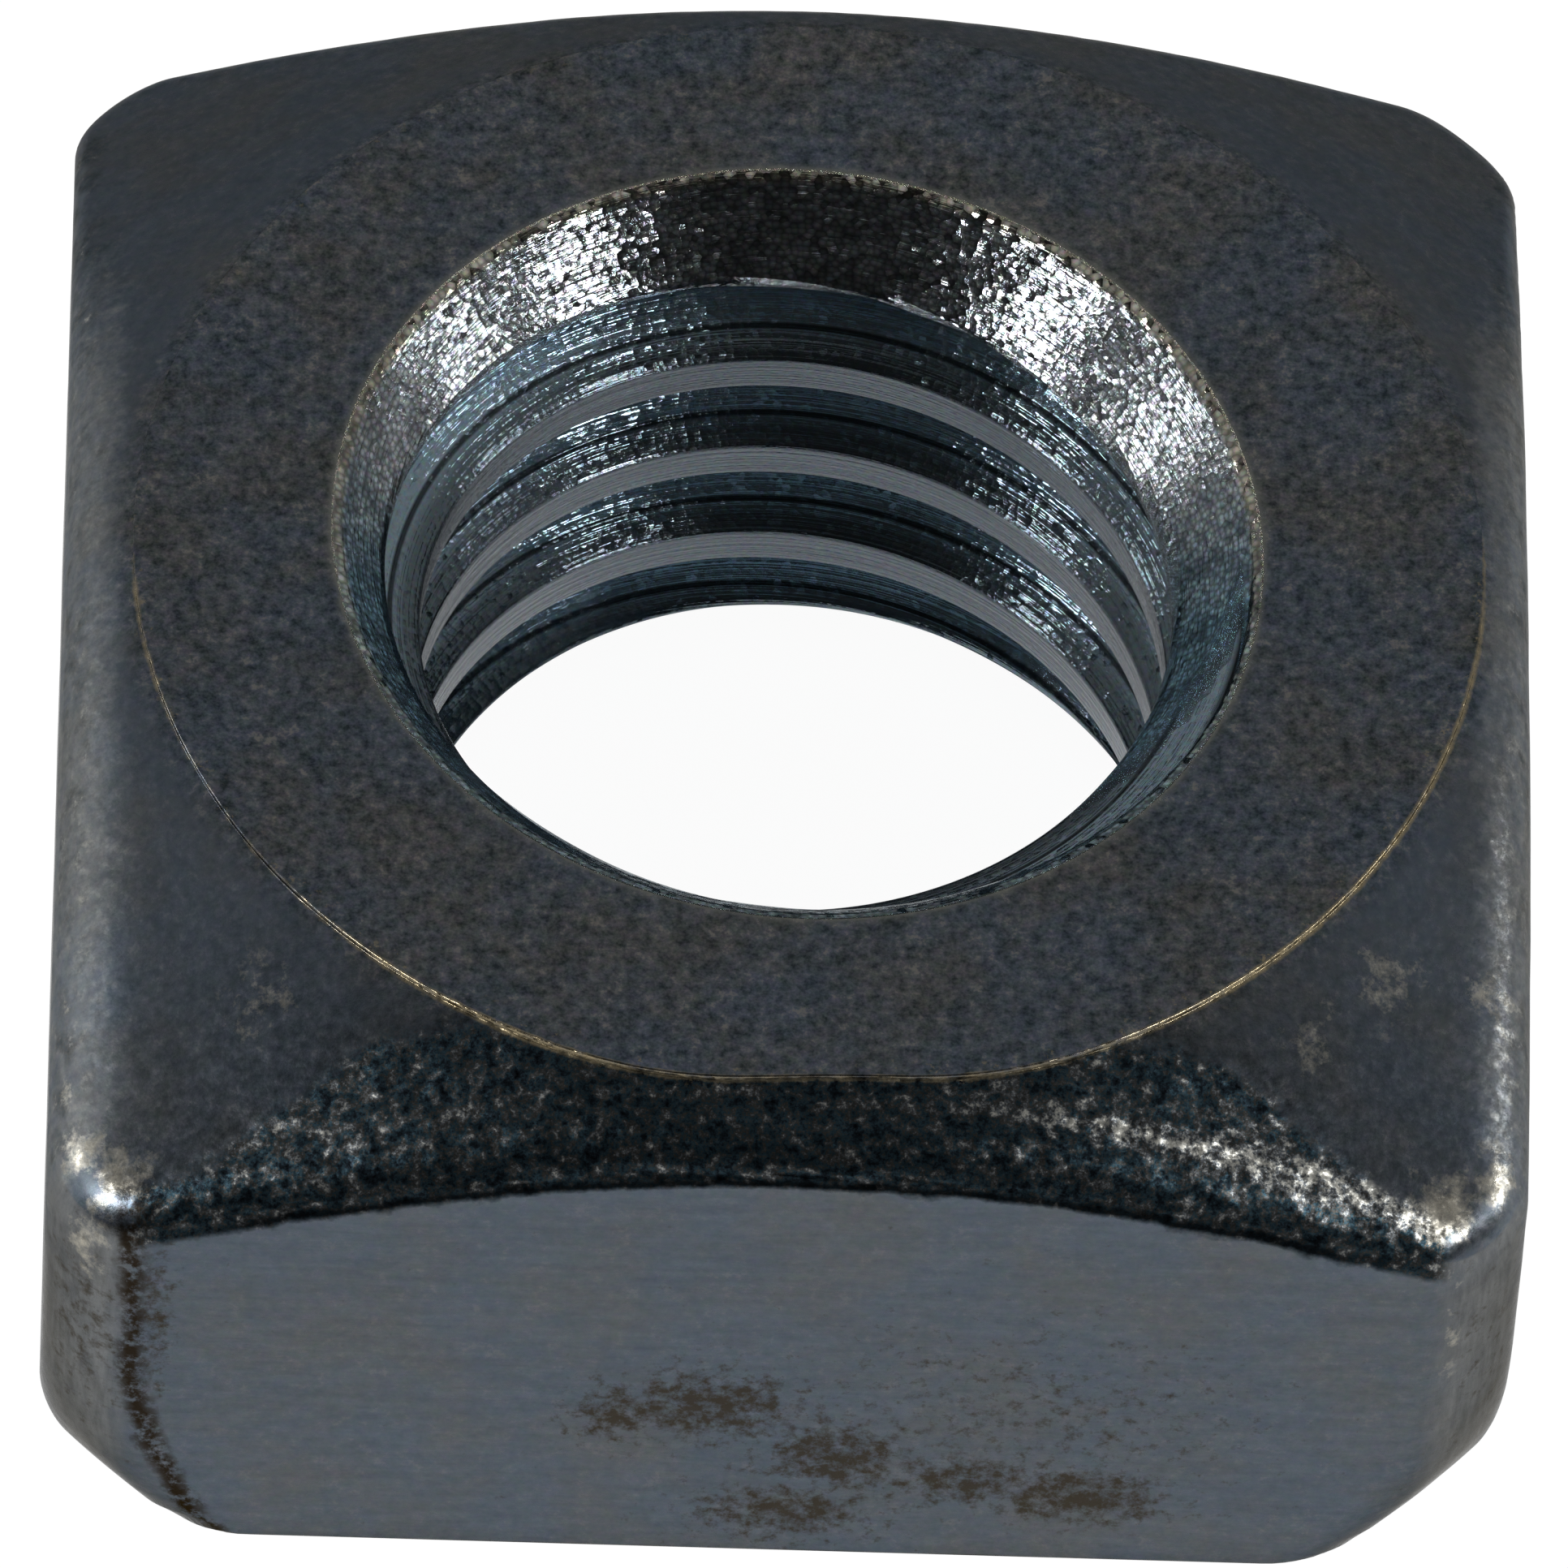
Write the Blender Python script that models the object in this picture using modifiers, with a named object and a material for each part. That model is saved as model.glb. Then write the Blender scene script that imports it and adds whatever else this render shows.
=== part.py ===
# Square nut, M8 x 1.25, 13 mm across the flats, zinc plated steel.
#
# One piece. It rests on its plain lower face, with the bearing face and its
# turned crown on top. The thread's axis is the Z axis and the lower face is
# on z = 0. Run it with Blender, or from Blender's text editor.
import math

import bmesh
import bpy

MM = 0.001

# Square prism
ACROSS_FLATS = 13.0 * MM
THICKNESS = 6.05 * MM
CORNER_ROUND = 0.92 * MM        # radius of each upright corner
LOWER_EDGE_ROUND = 0.10 * MM    # softening around the lower face

# Crown, the cone that leaves a round bearing face on top
BEARING_DIAMETER = 12.0 * MM
CROWN_ANGLE = math.radians(30.0)   # measured from the bearing face
CROWN_EDGE_ROUND = 0.26 * MM       # how far the softened edge runs each way

# Lower corners, drawn in towards the lower face on a curve turned about the axis
CORNER_DRAW = 0.70 * MM            # how far in they are at the lower face
CORNER_DRAW_HEIGHT = 2.40 * MM     # where the curve starts
CORNER_UPRIGHT_LEAST = 0.80 * MM   # what stays upright between it and the crown

# Thread, right-hand
NOMINAL_DIAMETER = 8.0 * MM
PITCH = 1.25 * MM
DEPTH_IN_PITCHES = 0.532           # as tapped, a little shallower than the full form
ROOT_IN_PITCHES = 0.088            # width of the groove's bottom
FLANK_ANGLE = math.radians(30.0)   # each flank, from square to the axis
CREST_HEIGHT_AT_BACK = 4.47 * MM   # middle of one crest, on the +Y side

# Countersinks, each a little wider than the thread
UPPER_COUNTERSINK_WIDER = 0.36 * MM
LOWER_COUNTERSINK_WIDER = 0.70 * MM
COUNTERSINK_ANGLE = math.radians(90.0)   # included angle

# How finely the round shapes are divided
TURN_STEPS = 64
CORNER_STEPS = 7      # odd, so that no edge of a corner lies on a step of the turned shapes
CURVE_STEPS = 6
CROWN_EDGE_STEPS = 4
LOWER_EDGE_STEPS = 2
SMOOTH_BELOW = math.radians(28.0)   # edges that turn less than this are shaded smooth

OVERRUN = 1.0 * MM    # how far the cutting shapes reach past the nut
CLEAR = 0.015 * MM    # keeps a cutting shape off an edge that it should not touch
WELD = 0.00001 * MM   # points nearer than this are one point

# Zinc plate, as it looks in the photograph (linear colour)
ZINC_COLOUR = (0.135, 0.15, 0.17, 1.0)
ZINC_ROUGHNESS = 0.38

OBJECT_NAME = "square_nut"

# Sizes that follow from the ones above
half_flats = ACROSS_FLATS / 2.0
corner_radius = (half_flats - CORNER_ROUND) * math.sqrt(2.0) + CORNER_ROUND
bearing_radius = BEARING_DIAMETER / 2.0
thread_depth = DEPTH_IN_PITCHES * PITCH
major_radius = NOMINAL_DIAMETER / 2.0
minor_radius = major_radius - thread_depth
upper_rim_radius = major_radius + UPPER_COUNTERSINK_WIDER / 2.0
lower_rim_radius = major_radius + LOWER_COUNTERSINK_WIDER / 2.0


def crown_height(radius):
    """Height of the crown's cone at a distance from the axis."""
    return THICKNESS - (radius - bearing_radius) * math.tan(CROWN_ANGLE)


def clear_scene():
    for old in list(bpy.data.objects):
        bpy.data.objects.remove(old, do_unlink=True)


def new_collection(name):
    collection = bpy.data.collections.new(name)
    bpy.context.scene.collection.children.link(collection)
    return collection


def put_in(collection, name, mesh):
    piece = bpy.data.objects.new(name, mesh)
    collection.objects.link(piece)
    return piece


def as_cutter(piece):
    piece.hide_render = True
    piece.display_type = 'WIRE'
    return piece


def work_in(piece):
    """Replace a piece's mesh and modifiers by the shape that they give."""
    graph = bpy.context.evaluated_depsgraph_get()
    graph.update()
    mesh = bpy.data.meshes.new_from_object(piece.evaluated_get(graph))
    piece.modifiers.clear()
    piece.data = mesh
    return mesh


def profile_piece(collection, name, points):
    """An open profile of (radius, height) points in the XZ plane, at +X."""
    mesh = bpy.data.meshes.new(name)
    corners = [(radius, 0.0, height) for radius, height in points]
    edges = [(i, i + 1) for i in range(len(corners) - 1)]
    mesh.from_pydata(corners, edges, [])
    return put_in(collection, name, mesh)


def spin(piece):
    """A Screw modifier that turns the profile once about Z."""
    screw = piece.modifiers.new("turn", 'SCREW')
    screw.axis = 'Z'
    screw.angle = 2.0 * math.pi
    screw.steps = TURN_STEPS
    screw.render_steps = TURN_STEPS
    return screw


def make_turned(collection, name, points):
    """A solid of revolution. The points run from the top down its outside."""
    piece = profile_piece(collection, name, points)
    screw = spin(piece)
    screw.use_merge_vertices = True
    screw.merge_threshold = WELD
    return piece


def boolean(piece, cutter, operation):
    cut = piece.modifiers.new(cutter.name, 'BOOLEAN')
    cut.operation = operation
    cut.solver = 'EXACT'
    cut.object = cutter


def bevel_edges(shape, edges, width, steps):
    bmesh.ops.bevel(
        shape, geom=edges, offset=width, offset_type='OFFSET', segments=steps,
        profile=0.5, affect='EDGES', clamp_overlap=False)


def is_upright(edge):
    start, end = (corner.co for corner in edge.verts)
    return abs(start.z - end.z) > math.hypot(start.x - end.x, start.y - end.y)


def make_prism(collection):
    """The square bar, its upright corners rounded and its lower edge softened.

    It stands proud of the bearing face, and the envelope brings it down to height.
    """
    height = THICKNESS + OVERRUN
    shape = bmesh.new()
    bmesh.ops.create_cube(shape, size=1.0)
    bmesh.ops.scale(shape, vec=(ACROSS_FLATS, ACROSS_FLATS, height), verts=shape.verts)
    bmesh.ops.translate(shape, vec=(0.0, 0.0, height / 2.0), verts=shape.verts)
    upright = [edge for edge in shape.edges if is_upright(edge)]
    bevel_edges(shape, upright, CORNER_ROUND, CORNER_STEPS)
    lower = [edge for edge in shape.edges if all(v.co.z < height / 2.0 for v in edge.verts)]
    bevel_edges(shape, lower, LOWER_EDGE_ROUND, LOWER_EDGE_STEPS)
    mesh = bpy.data.meshes.new(OBJECT_NAME)
    shape.to_mesh(mesh)
    shape.free()
    return put_in(collection, OBJECT_NAME, mesh)


def corner_curve():
    """The drawn-in lower corners, as (radius, height) points from the top down."""
    start = min(CORNER_DRAW_HEIGHT, crown_height(corner_radius) - CORNER_UPRIGHT_LEAST)
    points = []
    for i in range(CURVE_STEPS + 1):
        share = i / CURVE_STEPS
        points.append((corner_radius + CLEAR - CORNER_DRAW * share ** 2, start * (1.0 - share)))
    return points


def make_envelope(collection):
    """The turned shape that the outside of the nut is kept within."""
    outside = corner_radius + OVERRUN / 2.0
    curve = corner_curve()
    above, foot = curve[-2:]
    foot_slope = (above[0] - foot[0]) / (above[1] - foot[1])
    points = [(0.0, THICKNESS), (bearing_radius, THICKNESS), (outside, crown_height(outside))]
    points += curve
    points += [(foot[0] - foot_slope * OVERRUN, -OVERRUN), (0.0, -OVERRUN)]
    return make_turned(collection, "envelope", points)


def is_crown_edge(edge):
    """True where the crown's cone runs into an upright side."""
    side, cone = sorted(face.normal.z for face in edge.link_faces)
    halfway = math.cos(CROWN_ANGLE) / 2.0
    return abs(side) < halfway < cone < (1.0 + math.cos(CROWN_ANGLE)) / 2.0


def soften_crown_edge(piece):
    """Round the edge where the crown runs into the sides."""
    cone_width = (half_flats - bearing_radius) / math.cos(CROWN_ANGLE)
    width = min(CROWN_EDGE_ROUND, 0.8 * cone_width)
    mesh = work_in(piece)
    shape = bmesh.new()
    shape.from_mesh(mesh)
    weight = shape.edges.layers.float.new('bevel_weight_edge')
    for edge in shape.edges:
        if is_crown_edge(edge):
            edge[weight] = 1.0
    shape.to_mesh(mesh)
    shape.free()
    soft = piece.modifiers.new("soft crown edge", 'BEVEL')
    soft.limit_method = 'WEIGHT'
    soft.offset_type = 'OFFSET'
    soft.width = width
    soft.segments = CROWN_EDGE_STEPS
    soft.use_clamp_overlap = False
    work_in(piece)


def groove_pitch():
    """One pitch of the tap that cuts the thread, as (radius, height) points.

    The tap is narrow where the nut keeps a crest and full width in the root.
    Height 0 is the middle of a crest.
    """
    flank = thread_depth * math.tan(FLANK_ANGLE)
    root = ROOT_IN_PITCHES * PITCH
    crest = PITCH - root - 2.0 * flank
    points = [(minor_radius, PITCH - crest / 2.0)]
    for radius, drop in ((major_radius, flank), (major_radius, root),
                         (minor_radius, flank), (minor_radius, crest)):
        points.append((radius, points[-1][1] - drop))
    return points


def make_tap(collection):
    """A right-hand screw the size of the threaded hole, closed at both ends."""
    turns_below = math.ceil((CREST_HEIGHT_AT_BACK + OVERRUN) / PITCH) + 1
    turns_above = math.ceil((THICKNESS + OVERRUN - CREST_HEIGHT_AT_BACK) / PITCH) + 1
    # the profile stands at +X, a quarter turn before the back, so a quarter pitch lower
    start = CREST_HEIGHT_AT_BACK - PITCH / 4.0 - turns_below * PITCH
    points = [(radius, start + height) for radius, height in groove_pitch()]
    piece = profile_piece(collection, "tap", points)
    screw = spin(piece)
    screw.screw_offset = PITCH
    screw.iterations = turns_below + turns_above
    mesh = work_in(piece)
    shape = bmesh.new()
    shape.from_mesh(mesh)
    bmesh.ops.remove_doubles(shape, verts=shape.verts, dist=WELD)
    rims = [edge for edge in shape.edges if edge.is_boundary]
    ends = bmesh.ops.holes_fill(shape, edges=rims, sides=0)['faces']
    bmesh.ops.poke(shape, faces=ends)
    bmesh.ops.recalc_face_normals(shape, faces=shape.faces)
    shape.to_mesh(mesh)
    shape.free()
    return piece


def make_countersink(collection, name, face_height, rim_radius, outward):
    """A cone that opens the hole at a face: outward is 1 on top and -1 below.

    It is turned by half a step, so that its facets and the thread's do not
    share an edge.
    """
    slope = math.tan(COUNTERSINK_ANGLE / 2.0)
    inner = minor_radius - OVERRUN / 2.0
    wide = (rim_radius + OVERRUN * slope, face_height + outward * OVERRUN)
    narrow = (inner, face_height - outward * (rim_radius - inner) / slope)
    points = [(0.0, wide[1]), wide, narrow, (0.0, narrow[1])]
    if outward < 0:
        points.reverse()
    piece = make_turned(collection, name, points)
    piece.rotation_euler.z = math.pi / TURN_STEPS
    return piece


def give_zinc(piece):
    zinc = bpy.data.materials.new("zinc_plate")
    zinc.use_nodes = True
    shader = zinc.node_tree.nodes["Principled BSDF"]
    shader.inputs["Base Color"].default_value = ZINC_COLOUR
    shader.inputs["Metallic"].default_value = 1.0
    shader.inputs["Roughness"].default_value = ZINC_ROUGHNESS
    piece.data.materials.clear()
    piece.data.materials.append(zinc)


clear_scene()
nut_collection = new_collection(OBJECT_NAME)
cutters = new_collection("cutters")

nut = make_prism(nut_collection)
envelope = as_cutter(make_envelope(cutters))
boolean(nut, envelope, 'INTERSECT')
soften_crown_edge(nut)

tap = as_cutter(make_tap(cutters))
upper_countersink = as_cutter(make_countersink(
    cutters, "upper_countersink", THICKNESS, upper_rim_radius, 1))
lower_countersink = as_cutter(make_countersink(
    cutters, "lower_countersink", 0.0, lower_rim_radius, -1))
for cutter in (tap, upper_countersink, lower_countersink):
    boolean(nut, cutter, 'DIFFERENCE')
work_in(nut)

give_zinc(nut)
nut.data.shade_smooth()
nut.data.set_sharp_from_angle(angle=SMOOTH_BELOW)
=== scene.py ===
import math

import bmesh
import bpy
import numpy as np
from mathutils import Matrix, Vector, noise


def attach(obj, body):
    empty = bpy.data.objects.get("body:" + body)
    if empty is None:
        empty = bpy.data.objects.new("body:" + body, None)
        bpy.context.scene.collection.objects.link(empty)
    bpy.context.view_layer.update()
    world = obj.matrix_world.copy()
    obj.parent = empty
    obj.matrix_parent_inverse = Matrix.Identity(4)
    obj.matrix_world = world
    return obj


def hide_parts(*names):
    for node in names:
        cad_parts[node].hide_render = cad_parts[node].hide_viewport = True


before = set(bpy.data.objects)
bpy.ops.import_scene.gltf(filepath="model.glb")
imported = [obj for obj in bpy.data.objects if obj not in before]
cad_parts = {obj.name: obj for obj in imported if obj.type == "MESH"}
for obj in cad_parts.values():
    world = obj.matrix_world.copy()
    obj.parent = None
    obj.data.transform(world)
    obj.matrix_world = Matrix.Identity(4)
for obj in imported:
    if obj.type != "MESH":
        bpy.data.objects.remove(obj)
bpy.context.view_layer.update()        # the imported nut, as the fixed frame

# Square nut, zinc plated steel, standing on a pale floor.
# Sizes are in millimetres up to the point where a mesh or lamp is made.
mm = 0.001


def tell(stage):
    print("scene:", stage)


# The nut's form

nutForm = {
    "acrossFlats": 13.0,
    "thickness": 6.05,
    "cornerRound": 0.92,
    "bearingRadius": 5.98,
    "bearingCentre": (0.083, 0.083),   # the crown was turned a little off the thread's axis
    "bearingStep": 0.05,      # small step that the turning tool left around the bearing face
    "frontBite": 0.17,        # how far the pressed edge bites into the bearing face in front
    "frontPress": 0.09,       # and how deep
    "frontBiteAt": 273.0,     # degrees round from +X
    "bearingRound": 0.02,
    "crownAngle": 29.2,
    "crownRound": 0.36,       # the rolled edge between crown and sides
    "crownRoundBack": 0.14,
    "lowerRound": 0.10,
    "cornerDraw": 0.73,       # how far the lower corners are drawn in
    "cornerDrawHeight": 2.38,
    "cornerDrawRound": 0.25,
    "drawShift": (-0.12, -0.06),
    "columns": 560,           # of the outside; the hole has half as many
    "seed": 7,
}

holeForm = {
    "crestRadius": 3.33,
    "rootRadius": 4.0,
    "pitch": 1.25,
    "crestWidth": 0.384,
    "flankAngle": 30.0,
    "crestAtBack": 4.458,     # height of one crest on the +Y side
    "edgeRound": 0.035,
    "rimRadius": 4.167,       # the upper countersink, cut a little off centre and oval
    "rimShift": (-0.016, 0.196),
    "rimOval": (-0.043, -0.050),
    "sinkSlope": 1.20,        # how fast its radius shrinks with depth
    "rimBreak": (0.08, 0.035),   # the broken edge at its rim, across and down
    "rimRound": 0.02,
    "lowerRimRadius": 4.39,
    "rowEnds": (0.12, 0.135),    # how far from the lower and the upper face the hole's rows stop
    # rows of points to each side of a crest's middle, closer together where the wall turns
    "rowsFromCrest": [0.0, 0.08, 0.145, 0.176, 0.192, 0.208, 0.24, 0.285, 0.335, 0.385, 0.435,
                      0.485, 0.53, 0.556, 0.572, 0.592],
}


# The larger of two distances, with the edge where they meet rounded.
def roundMax(a, b, radius):
    both = np.hypot(np.maximum(a + radius, 0.0), np.maximum(b + radius, 0.0)) - radius
    return np.where((a > -radius) & (b > -radius), both, np.maximum(a, b))


def softMax(a, b, width):
    share = np.maximum(width - np.abs(a - b), 0.0) / width
    return np.maximum(a, b) + share * share * width / 4.0


def softMin(a, b, width):
    return -softMax(-a, -b, width)


# A bump of height 1 and the given half width.
def bell(away, width):
    return np.exp(-(away / width) ** 2)


# A value read off a list of places and values.
def readOff(pairs, at):
    return np.interp(at, *zip(*pairs))


# Radius of the threaded wall. The crest climbs with the angle, so the thread is right-hand.
def threadRadius(angle, z):
    f = holeForm
    turn = (z - f["crestAtBack"]) / f["pitch"] - (angle - math.pi / 2) / (2 * math.pi)
    away = np.abs(turn - np.round(turn)) * f["pitch"]
    rise = (away - f["crestWidth"] / 2) / math.tan(math.radians(f["flankAngle"]))
    rise = softMax(rise, 0.0, f["edgeRound"])
    rise = softMin(rise, f["rootRadius"] - f["crestRadius"], f["edgeRound"])
    return f["crestRadius"] + rise


# Distance from the axis to a circle whose centre is off the axis.
def shiftedRadius(angle, centre, radius):
    x, y = centre
    along = x * np.cos(angle) + y * np.sin(angle)
    return along + np.sqrt(radius ** 2 - x * x - y * y + along * along)


def rimCurve(angle):
    f = holeForm
    oval = f["rimOval"][0] * np.cos(2 * angle) + f["rimOval"][1] * np.sin(2 * angle)
    return shiftedRadius(angle, f["rimShift"], f["rimRadius"]) + oval


def upperConeRadius(angle, z):
    f = holeForm
    across, down = f["rimBreak"]
    return rimCurve(angle) - across - (nutForm["thickness"] - down - z) * f["sinkSlope"]


# The countersink with the narrow broken edge around its rim.
def rimWall(angle, z):
    f = holeForm
    across, down = f["rimBreak"]
    edge = rimCurve(angle) - (nutForm["thickness"] - z) * across / down
    return softMax(upperConeRadius(angle, z), edge, f["rimRound"])


def holeRadius(angle, z):
    f = holeForm
    wall = softMax(threadRadius(angle, z), rimWall(angle, z), f["edgeRound"])
    return softMax(wall, f["lowerRimRadius"] - z, f["edgeRound"])


# The turned curve that draws the lower corners in, as a radius at each height.
def cornerCurve(z):
    f = nutForm
    full = (f["acrossFlats"] / 2 - f["cornerRound"]) * math.sqrt(2.0) + f["cornerRound"]
    share = np.clip(1.0 - z / f["cornerDrawHeight"], 0.0, None)
    return full - f["cornerDraw"] * share ** 2


def sideDistance(x, y):
    half = nutForm["acrossFlats"] / 2
    return roundMax(np.abs(x) - half, np.abs(y) - half, nutForm["cornerRound"])


# Distance from the axis to the outline of the square with its rounded corners.
def outlineRadius(angle):
    half, corner = nutForm["acrossFlats"] / 2, nutForm["cornerRound"]
    across, up = np.abs(np.cos(angle)), np.abs(np.sin(angle))
    centre = half - corner
    along = centre * (across + up)
    arc = along + np.sqrt(np.maximum(along ** 2 - 2 * centre ** 2 + corner ** 2, 0.0))
    flat = half / np.maximum(across, up)
    inCorner = np.minimum(across, up) * half > centre * np.maximum(across, up)
    return np.where(inCorner, arc, flat)


# How much of the bite in front is at this angle, 0 to 1.
def frontShare(angle):
    return bell(angle % (2 * math.pi) - math.radians(nutForm["frontBiteAt"]), 0.20)


# The outline of the bearing face, which the pressed edge has bitten into in front.
def bearingCurve(angle):
    f = nutForm
    circle = shiftedRadius(angle, f["bearingCentre"], f["bearingRadius"])
    return circle - f["frontBite"] * frontShare(angle)


# How far the crown lies below the bearing face: a cone that starts with a small step.
def crownDrop(angle, r):
    f = nutForm
    x, y = r * np.cos(angle), r * np.sin(angle)
    out = np.hypot(x - f["bearingCentre"][0], y - f["bearingCentre"][1]) - f["bearingRadius"]
    step = f["bearingStep"] * np.exp(-np.maximum(r - bearingCurve(angle), 0.0) / 0.3)
    press = f["frontPress"] * frontShare(angle) * bell(out, 0.4)
    return out * math.tan(math.radians(f["crownAngle"])) + step + press


def crownDistance(x, y, z):
    f = nutForm
    angle, r = np.arctan2(y, x), np.hypot(x, y)
    cone = (z - f["thickness"] + crownDrop(angle, r)) * math.cos(math.radians(f["crownAngle"]))
    beyond = r - bearingCurve(angle)
    farAway = f["acrossFlats"]
    return np.minimum(cone, np.where(beyond > 0, farAway, beyond))


# Distance outside the nut's surface, negative within the metal.
def outsideDistance(angle, r, z):
    f = nutForm
    x, y = r * np.cos(angle), r * np.sin(angle)
    top = roundMax(z - f["thickness"], crownDistance(x, y, z), f["bearingRound"])
    back = np.clip((y - 1.0) / 4.5, 0.0, 1.0)
    rolled = f["crownRound"] + (f["crownRoundBack"] - f["crownRound"]) * back
    drawn = np.hypot(x - f["drawShift"][0], y - f["drawShift"][1]) - cornerCurve(z)
    side = roundMax(sideDistance(x, y), drawn, f["cornerDrawRound"])
    body = roundMax(roundMax(side, top, rolled), -z, f["lowerRound"])
    hole = (holeRadius(angle, z) - r) * math.sqrt(0.5)
    return roundMax(body, hole, holeForm["rimRound"])


# Angles of the columns, evenly spaced along the outline and closer at the corners.
def columnAngles():
    count = nutForm["columns"]
    fine = np.linspace(0.0, 2 * math.pi, 20001)
    r = outlineRadius(fine)
    x, y = r * np.cos(fine), r * np.sin(fine)
    step = np.hypot(np.diff(x), np.diff(y))
    middle = (fine[1:] + fine[:-1]) / 2
    fromCorner = np.abs(middle % (math.pi / 2) - math.pi / 4)
    step = step * (1.0 + 1.5 * np.clip(1.6 - fromCorner / 0.076, 0.0, 1.0))
    run = np.concatenate([[0.0], np.cumsum(step)])
    return np.interp(np.arange(count) * run[-1] / count, run, fine)


# Places from start to end. Near and far say how many stand close together at each end, within
# the given reach of it, and count is the number spread between those.
def spread(start, end, near, far, count, reach):
    close = np.array([0.0, 0.05, 0.12, 0.22, 0.34, 0.48, 0.64, 0.82])
    steps = {"long": close, "short": close[:4] * 0.5}
    length = np.abs(end - start)
    edge = np.minimum(reach, 0.42 * length)
    first = [edge * c for c in steps[near]]
    last = [length - edge * c for c in steps[far]]
    low, high = first[-1], last[-1]
    middle = [low + (high - low) * (i + 1) / (count + 1) for i in range(count)]
    return [start + (end - start) * (s / length) for s in first + middle + last[::-1]]


# For each column, points from inside the upper rim round the outside to the lower rim.
def outerPaths(angle):
    f, h = nutForm, holeForm
    top = f["thickness"] + 0.0 * angle
    rim = rimCurve(angle)
    side = outlineRadius(angle)
    bearing = bearingCurve(angle)
    foot = np.minimum(side, cornerCurve(0.0))
    lower = h["lowerRimRadius"] + 0.0 * angle
    rows, zone = [], []

    def add(r, z, name):
        rows.append((r + 0.0 * angle, z + 0.0 * angle))
        zone.append(name)

    for s in (0.12, 0.10, 0.088, 0.080, 0.070, 0.045, 0.022, 0.008):
        add(holeRadius(angle, top - s), top - s, "rim")
    for r in spread(rim, bearing, "short", "short", 8, 0.35):
        add(r, top, "bearing")
    for share in (0.33, 0.66, 1.0):
        add(bearing + 0.002, top - share * f["bearingStep"], "crown")
    for r in spread(bearing, side, "short", "long", 8, 0.60)[1:]:
        add(r, top - crownDrop(angle, r), "crown")
    for z in spread(top - crownDrop(angle, side), 0.0 * angle, "long", "short", 16, 0.60)[1:]:
        add(np.minimum(side, cornerCurve(z)), z, "side")
    for r in spread(foot, lower, "short", "short", 5, 0.30)[1:]:
        add(r, 0.0, "under")
    for s in (0.012, 0.03, 0.06, 0.10):
        add(h["lowerRimRadius"] - s, s, "rim")
    return np.array([r for r, z in rows]), np.array([z for r, z in rows]), np.array(zone)


# Smooth noise, about -1 to 1, at points given in millimetres.
def grain(x, y, z, perMm, octaves=3):
    flat = np.stack([x.ravel(), y.ravel(), z.ravel()], axis=1) * perMm
    shift = Vector((nutForm["seed"] * 3.7, 1.3, -2.9))
    found = [noise.fractal(Vector(p) + shift, 1.0, 2.0, octaves) for p in flat]
    return np.array(found).reshape(x.shape)


# Moves sharp-cornered points on to the rounded surface, along rays from inside the metal.
def settle(angle, r, z, sink):
    fromR, fromZ = 5.3, 3.0
    low, high = np.full(r.shape, 0.5), np.full(r.shape, 1.03)
    for _ in range(26):
        t = (low + high) / 2
        where = fromR + t * (r - fromR), fromZ + t * (z - fromZ)
        outside = outsideDistance(angle, *where) + sink > 0
        high = np.where(outside, t, high)
        low = np.where(outside, low, t)
    t = (low + high) / 2
    return fromR + t * (r - fromR), fromZ + t * (z - fromZ)


# How the outside is worn and pressed, and where highlight and sheen are painted on it. Across the
# front x runs from -6 on the left to 6.
wear = {
    # how far up the crown the die roughened it in front: distance from the middle, reach
    "pressedReach": [(0.0, 1.6), (3.7, 1.5), (4.3, 1.15), (5.0, 0.75), (6.2, 0.42)],
    "pressedShare": [(-6.0, 0.8), (6.0, 1.0)],
    "otherReach": 0.65,
    "besideShare": 0.25,
    "behindShare": 0.1,
    # where a painted highlight lightens the rolled edge in front: how far in from the side, how
    # wide, how bright
    "glintInward": [(2.0, 0.60), (6.0, 0.40)],
    "glintWidth": [(-6.0, 0.14), (0.0, 0.06), (6.0, 0.20)],
    "glintShare": [(-6.0, 0.18), (-3.0, 0.12), (-1.0, 0.03), (0.5, 0.0), (2.5, 0.6), (6.0, 1.0)],
    "besideGlint": (0.6, 0.9),     # left and right
    "wornReach": 0.32,             # of the bands of painted sheen on the rolled edges at the two sides
    # spots of painted highlight, whose facets also lean to glint: x, y, z, width, height, share
    "bruises": [(-6.22, -5.76, 4.63, 0.20, 0.3, 0.9), (-5.86, -5.98, 4.67, 0.26, 0.3, 0.9),
                (-6.12, -6.28, 4.1, 0.22, 0.6, 0.55), (5.73, -5.99, 4.72, 0.30, 0.3, 1.0),
                (6.16, -5.66, 4.65, 0.28, 0.3, 0.8), (5.90, -6.45, 3.6, 0.10, 1.1, 0.36),
                (5.15, -4.20, 5.45, 0.38, 0.5, 0.58), (4.45, -4.80, 5.40, 0.35, 0.5, 0.62),
                (6.10, -4.10, 5.20, 0.26, 0.6, 0.55), (-4.6, -4.7, 5.5, 0.50, 0.5, 0.30),
                (-6.36, -5.13, 4.72, 0.11, 0.25, 0.8), (-6.38, -4.40, 4.80, 0.12, 0.25, 0.55)],
    # how strongly the bearing face's edge shows its gold and painted highlight: degrees round from
    # +X, share
    "lipShown": [(0, 0.75), (12, 0.3), (60, 0.2), (180, 0.45), (185, 0.75), (198, 0.75),
                 (207, 0.5), (245, 1.0), (262, 0.75), (298, 0.75), (314, 1.0), (352, 0.9),
                 (360, 0.75)],
    "waveDepth": 0.006,       # of the shallow dents all over, and of those on the pressed edge
    "dentDepth": 0.045,
}


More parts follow.
